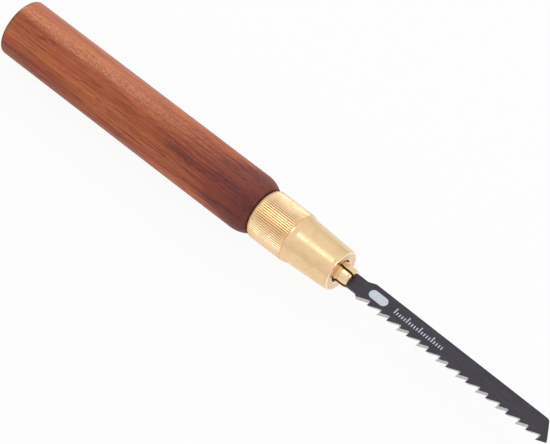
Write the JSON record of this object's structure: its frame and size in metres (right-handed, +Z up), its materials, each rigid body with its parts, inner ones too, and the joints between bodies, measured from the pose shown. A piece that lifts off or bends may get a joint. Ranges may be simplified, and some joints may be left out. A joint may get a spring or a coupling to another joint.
{
  "type": "collet-handled hand saw",
  "caption": "Small hand saw: a turned wooden handle with a knurled brass collet chuck that grips a short toothed blade by its T-shaped shank.",
  "frame": {"origin": "on the tool's axis, halfway along the wooden handle", "axes": "+X along the tool's axis towards the blade's tip, teeth towards -Y, +Z up out of the blade's flat side"},
  "size_m": [0.223, 0.02, 0.02],
  "materials": {
    "wood": "reddish-brown turned hardwood, satin varnish",
    "brass_outer": "bright turned and knurled brass",
    "brass_inner": "turned brass",
    "blade_steel": "satin black oxide, bare steel at the ground teeth"
  },
  "bodies": {
    "handle": {"handle": "wood", "chuck_body": "brass_inner"},
    "collet": {"collet_ring": "brass_inner"},
    "nut": {"chuck_nut": "brass_outer"},
    "jaw_top_back": {"jaw_top_back": "brass_inner"},
    "jaw_top_front": {"jaw_top_front": "brass_inner"},
    "jaw_bottom_front": {"jaw_bottom_front": "brass_inner"},
    "jaw_bottom_back": {"jaw_bottom_back": "brass_inner"},
    "blade": {"blade": "blade_steel"}
  },
  "joints": [
    {"name": "collet_slide", "type": "slide", "parent": "handle", "child": "collet", "axis": [1, 0, 0], "range_m": [0, 0.0015]},
    {"name": "nut_turn", "type": "hinge", "parent": "collet", "child": "nut", "pos_m": [0.06905, 0, 0], "axis": [1, 0, 0], "range_deg": [0, 540]},
    {"name": "blade_slide", "type": "slide", "parent": "collet", "child": "blade", "axis": [1, 0, 0], "range_m": [0, 0.025]},
    {"name": "top_back_jaw_flex", "type": "hinge", "parent": "collet", "child": "jaw_top_back", "pos_m": [0.0665, 0.00276, 0.00276], "axis": [0, -0.7071, 0.7071], "range_deg": [0, 0.8]},
    {"name": "top_front_jaw_flex", "type": "hinge", "parent": "collet", "child": "jaw_top_front", "pos_m": [0.0665, -0.00276, 0.00276], "axis": [0, -0.7071, -0.7071], "range_deg": [0, 0.8]},
    {"name": "bottom_front_jaw_flex", "type": "hinge", "parent": "collet", "child": "jaw_bottom_front", "pos_m": [0.0665, -0.00276, -0.00276], "axis": [0, 0.7071, -0.7071], "range_deg": [0, 0.8]},
    {"name": "bottom_back_jaw_flex", "type": "hinge", "parent": "collet", "child": "jaw_bottom_back", "pos_m": [0.0665, 0.00276, -0.00276], "axis": [0, 0.7071, 0.7071], "range_deg": [0, 0.8]}
  ],
  "couplings": [
    {"joint": "nut_turn", "follows": "collet_slide", "rad_per_m": 6283.1},
    {"joint": "top_back_jaw_flex", "follows": "collet_slide", "rad_per_m": 9.3},
    {"joint": "top_front_jaw_flex", "follows": "collet_slide", "rad_per_m": 9.3},
    {"joint": "bottom_front_jaw_flex", "follows": "collet_slide", "rad_per_m": 9.3},
    {"joint": "bottom_back_jaw_flex", "follows": "collet_slide", "rad_per_m": 9.3}
  ]
}
